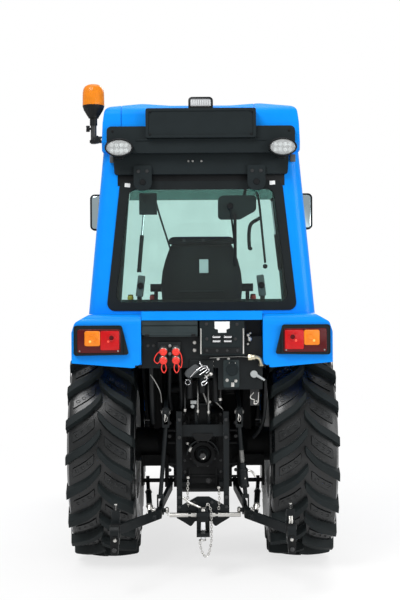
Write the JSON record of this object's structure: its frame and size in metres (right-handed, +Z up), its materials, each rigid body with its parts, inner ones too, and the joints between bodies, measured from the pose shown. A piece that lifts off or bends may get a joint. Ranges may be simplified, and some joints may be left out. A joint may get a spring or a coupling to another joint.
{
  "type": "compact farm tractor with cab",
  "caption": "Compact farm tractor with a glazed cab, lugged tyres, steered front axle, opening hood and doors, and a rear three-point hitch.",
  "frame": {"origin": "on the ground, under the middle of the tractor's length and width", "axes": "+Y forward, +X to the tractor's right, +Z up"},
  "size_m": [1.428, 3.402, 2.4974],
  "materials": {
    "blue_paint": "gloss",
    "black_paint": "satin",
    "wheel_paint": "satin",
    "cast_dark": "rough",
    "bright_steel": "satin",
    "black_plastic": "matte",
    "rubber_seal": "matte",
    "tyre_rubber": "matte",
    "tinted_glass": "clear",
    "lamp_glass": "gloss",
    "red_lens": "gloss",
    "amber_lens": "gloss",
    "seat_fabric": "woven"
  },
  "bodies": {
    "root": {"beacon": "amber_lens", "cab_floor": "black_plastic", "cab_frame": "blue_paint", "cab_glass": "tinted_glass", "control_levers": "black_plastic", "dashboard": "black_plastic", "drawbar_clevis": "black_paint", "engine_block": "cast_dark", "equipment_plate": "black_paint", "fender_left": "blue_paint", "fender_right": "blue_paint", "front_axle": "cast_dark", "front_frame": "black_paint", "fuel_tank": "black_plastic", "gearbox": "cast_dark", "hitch_frame": "black_paint", "hydraulic_couplers": "bright_steel", "mirrors": "black_plastic", "pto_shaft": "bright_steel", "radiator": "black_paint", "rear_panel": "blue_paint", "rear_roof_panel": "black_plastic", "roof": "blue_paint", "seat_back": "seat_fabric", "seat_base": "black_plastic", "seat_cushion": "seat_fabric", "steps": "black_paint", "tail_lamp_bezels": "black_plastic", "tail_lamp_lenses": "red_lens", "tool_box": "black_plastic", "top_link_bracket": "black_paint", "trailer_socket": "black_plastic", "valve_box": "black_plastic", "window_fittings": "black_plastic", "window_seal": "rubber_seal", "work_lamps": "lamp_glass"},
    "rear_wheel_left": {"rear_tyre_left": "tyre_rubber", "rear_rim_left": "wheel_paint"},
    "rear_wheel_right": {"rear_tyre_right": "tyre_rubber", "rear_rim_right": "wheel_paint"},
    "knuckle_left_body": {"knuckle_left": "cast_dark"},
    "knuckle_right_body": {"knuckle_right": "cast_dark"},
    "front_wheel_left": {"front_tyre_left": "tyre_rubber", "front_rim_left": "wheel_paint"},
    "front_wheel_right": {"front_tyre_right": "tyre_rubber", "front_rim_right": "wheel_paint"},
    "tie_rod_body": {"tie_rod": "bright_steel"},
    "door_left_body": {"door_left": "blue_paint", "door_glass_left": "tinted_glass"},
    "door_right_body": {"door_right": "blue_paint", "door_glass_right": "tinted_glass"},
    "hood_body": {"hood": "blue_paint", "grille": "black_plastic", "headlights": "lamp_glass"},
    "lift_shaft": {"rockshaft": "black_paint"},
    "lift_rod_left_body": {"lift_rod_left": "black_paint"},
    "lift_rod_right_body": {"lift_rod_right": "black_paint"},
    "link_left": {"lower_link_left": "black_paint"},
    "link_right": {"lower_link_right": "black_paint"},
    "steering_wheel_body": {"steering_wheel": "black_plastic"}
  },
  "joints": [
    {"name": "rear_wheel_left_roll", "type": "hinge", "parent": "root", "child": "rear_wheel_left", "pos_m": [-0.52, -0.76, 0.605], "axis": [-1, 0, 0], "continuous": true},
    {"name": "rear_wheel_right_roll", "type": "hinge", "parent": "root", "child": "rear_wheel_right", "pos_m": [0.52, -0.76, 0.605], "axis": [-1, 0, 0], "continuous": true},
    {"name": "steer_left", "type": "hinge", "parent": "root", "child": "knuckle_left_body", "pos_m": [-0.4, 1.11, 0.435], "axis": [0, 0, 1], "range_deg": [-40, 40]},
    {"name": "steer_right", "type": "hinge", "parent": "root", "child": "knuckle_right_body", "pos_m": [0.4, 1.11, 0.435], "axis": [0, 0, 1], "range_deg": [-40, 40]},
    {"name": "front_wheel_left_roll", "type": "hinge", "parent": "knuckle_left_body", "child": "front_wheel_left", "pos_m": [-0.53, 1.11, 0.415], "axis": [-1, 0, 0], "continuous": true},
    {"name": "front_wheel_right_roll", "type": "hinge", "parent": "knuckle_right_body", "child": "front_wheel_right", "pos_m": [0.53, 1.11, 0.415], "axis": [-1, 0, 0], "continuous": true},
    {"name": "tie_rod_hinge", "type": "hinge", "parent": "knuckle_left_body", "child": "tie_rod_body", "pos_m": [-0.366, 0.97, 0.357], "axis": [0, 0, 1], "range_deg": [-40, 40]},
    {"name": "door_left_hinge", "type": "hinge", "parent": "root", "child": "door_left_body", "pos_m": [-0.597, -0.654, 1.33], "axis": [0.0959, 0, 0.9954], "range_deg": [0, 70]},
    {"name": "door_right_hinge", "type": "hinge", "parent": "root", "child": "door_right_body", "pos_m": [0.597, -0.654, 1.33], "axis": [0.0959, 0, -0.9954], "range_deg": [0, 70]},
    {"name": "hood_hinge", "type": "hinge", "parent": "root", "child": "hood_body", "pos_m": [0, 0.207, 1.36], "axis": [1, 0, 0], "range_deg": [0, 58]},
    {"name": "hitch_lift", "type": "hinge", "parent": "root", "child": "lift_shaft", "pos_m": [0, -0.86, 0.92], "axis": [-1, 0, 0], "range_deg": [-5, 42]},
    {"name": "link_left_pivot", "type": "hinge", "parent": "root", "child": "link_left", "pos_m": [-0.172, -0.86, 0.42], "axis": [-1, 0, 0], "range_deg": [-5, 42]},
    {"name": "link_right_pivot", "type": "hinge", "parent": "root", "child": "link_right", "pos_m": [0.172, -0.86, 0.42], "axis": [-1, 0, 0], "range_deg": [-5, 42]},
    {"name": "lift_rod_left_pin", "type": "hinge", "parent": "lift_shaft", "child": "lift_rod_left_body", "pos_m": [-0.187, -1.24, 0.83], "axis": [-1, 0, 0], "range_deg": [-42, 5]},
    {"name": "lift_rod_right_pin", "type": "hinge", "parent": "lift_shaft", "child": "lift_rod_right_body", "pos_m": [0.187, -1.24, 0.83], "axis": [-1, 0, 0], "range_deg": [-42, 5]},
    {"name": "steering_wheel_turn", "type": "hinge", "parent": "root", "child": "steering_wheel_body", "pos_m": [0, -0.2, 1.4], "axis": [0, -0.6428, 0.766], "continuous": true}
  ],
  "couplings": [
    {"joint": "steer_right", "follows": "steer_left", "ratio": 1},
    {"joint": "tie_rod_hinge", "follows": "steer_left", "ratio": -1},
    {"joint": "link_left_pivot", "follows": "hitch_lift", "ratio": 1},
    {"joint": "link_right_pivot", "follows": "hitch_lift", "ratio": 1},
    {"joint": "lift_rod_left_pin", "follows": "hitch_lift", "ratio": -1},
    {"joint": "lift_rod_right_pin", "follows": "hitch_lift", "ratio": -1}
  ]
}
